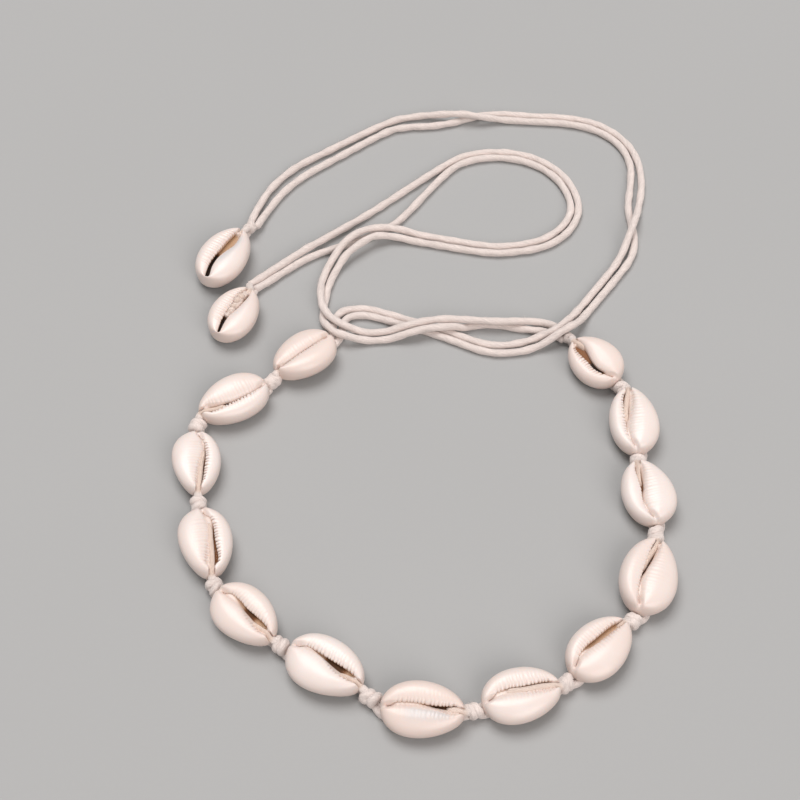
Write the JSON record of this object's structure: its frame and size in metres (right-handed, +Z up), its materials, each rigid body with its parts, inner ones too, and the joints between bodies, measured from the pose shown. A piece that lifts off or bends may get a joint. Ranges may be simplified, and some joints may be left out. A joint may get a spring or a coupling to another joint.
{
  "type": "shell choker",
  "caption": "Choker of cowrie shells with their backs sawn off, knotted on a doubled cotton cord that ends in two ties, each with one more shell, laid open.",
  "frame": {"origin": "middle of the collar of thirteen shells, at the height of the surface that it lies on", "axes": "+Z up off the surface; the collar's open side, with the two ties, is towards +Y; the first shell is at its left end, -X"},
  "size_m": [0.1274, 0.1988, 0.008],
  "materials": {
    "shell": "smooth, semi-gloss, cream to peach",
    "cord": "twisted matt cotton, off-white"
  },
  "bodies": {
    "root": {"shell_01": "shell", "shell_02": "shell", "shell_03": "shell", "shell_04": "shell", "shell_05": "shell", "shell_06": "shell", "shell_07": "shell", "shell_08": "shell", "shell_09": "shell", "shell_10": "shell", "shell_11": "shell", "shell_12": "shell", "shell_13": "shell", "cord_01": "cord", "cord_02": "cord", "cord_03": "cord", "cord_04": "cord", "cord_05": "cord", "cord_06": "cord", "cord_07": "cord", "cord_08": "cord", "cord_09": "cord", "cord_10": "cord", "cord_11": "cord", "cord_12": "cord", "cord_13": "cord", "knot_01": "cord", "knot_02": "cord", "knot_03": "cord", "knot_04": "cord", "knot_05": "cord", "knot_06": "cord", "knot_07": "cord", "knot_08": "cord", "knot_09": "cord", "knot_10": "cord", "knot_11": "cord", "knot_12": "cord", "end_knot": "cord", "tie_left_upper": "cord", "tie_left_lower": "cord", "tie_right_upper": "cord", "tie_right_lower": "cord", "tie_left_knot": "cord", "tie_left_ends": "cord", "tie_left_shell": "shell", "tie_right_ends": "cord", "tie_right_stop": "cord", "tie_right_shell": "shell"}
  },
  "joints": []
}
